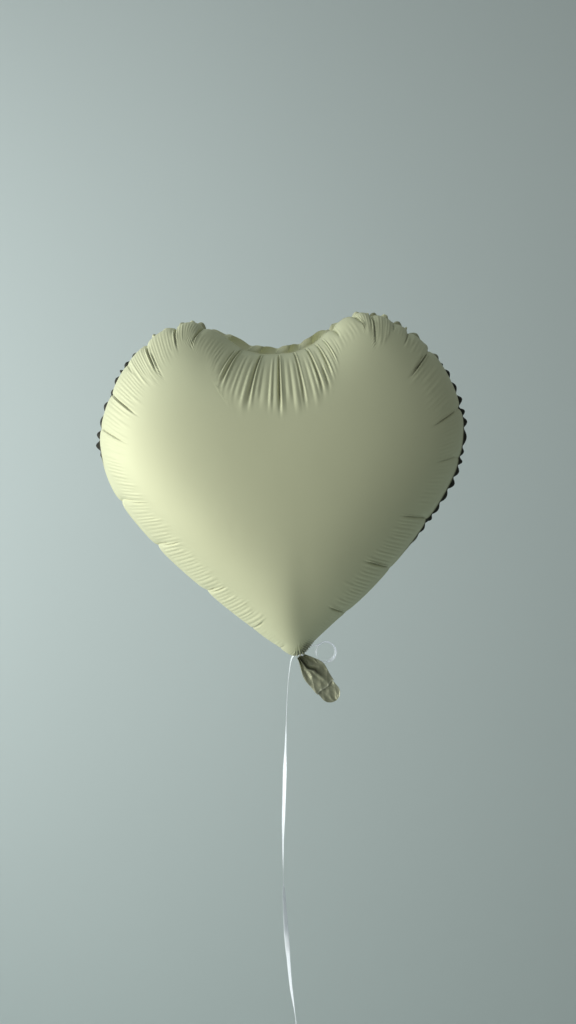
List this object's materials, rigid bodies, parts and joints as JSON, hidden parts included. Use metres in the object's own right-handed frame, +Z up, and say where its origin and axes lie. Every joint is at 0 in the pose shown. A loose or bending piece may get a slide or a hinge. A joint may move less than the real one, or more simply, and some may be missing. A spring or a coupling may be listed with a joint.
{
  "type": "heart-shaped foil balloon",
  "caption": "Inflated satin foil balloon in the shape of a heart, tied at its tip with curling ribbon, with its filling tail and a long hanging ribbon.",
  "frame": {"origin": "middle of the flat patch of the rear film that rests against the wall, level with the balloon's fullest point", "axes": "+X to the right of someone facing the balloon, +Y into the wall, +Z up"},
  "size_m": [0.3716, 0.1785, 0.7875],
  "materials": {
    "satin_foil": "satin metallised film, pale sage cream",
    "valve_film": "thin hazy polyethylene",
    "curling_ribbon": "glossy white embossed curling ribbon"
  },
  "bodies": {
    "balloon": {"front_film": "satin_foil", "rear_film": "satin_foil", "valve_front_strip": "valve_film", "valve_rear_strip": "valve_film", "ribbon_wrap": "curling_ribbon", "ribbon_knot": "curling_ribbon"},
    "tail": {"tail_front_film": "satin_foil", "tail_rear_film": "satin_foil"},
    "long_end": {"ribbon_long": "curling_ribbon", "ribbon_coil": "curling_ribbon", "coil_tie": "curling_ribbon"},
    "curl": {"curl_lead": "curling_ribbon", "ribbon_curl": "curling_ribbon"}
  },
  "joints": [
    {"name": "tail_bend", "type": "hinge", "parent": "balloon", "child": "tail", "pos_m": [0.01475, -0.0885, -0.18626], "axis": [-0.7581, 0, -0.6521], "range_deg": [0, 60]},
    {"name": "ribbon_swing", "type": "hinge", "parent": "balloon", "child": "long_end", "pos_m": [0.01158, -0.08315, -0.18339], "axis": [0, 1, 0], "range_deg": [-25, 25]},
    {"name": "curl_bob", "type": "hinge", "parent": "balloon", "child": "curl", "pos_m": [0.01158, -0.08315, -0.18339], "axis": [0, 1, 0], "range_deg": [-5, 20], "stiffness_Nm_per_rad": 0.001, "springref_deg": -0.74}
  ]
}
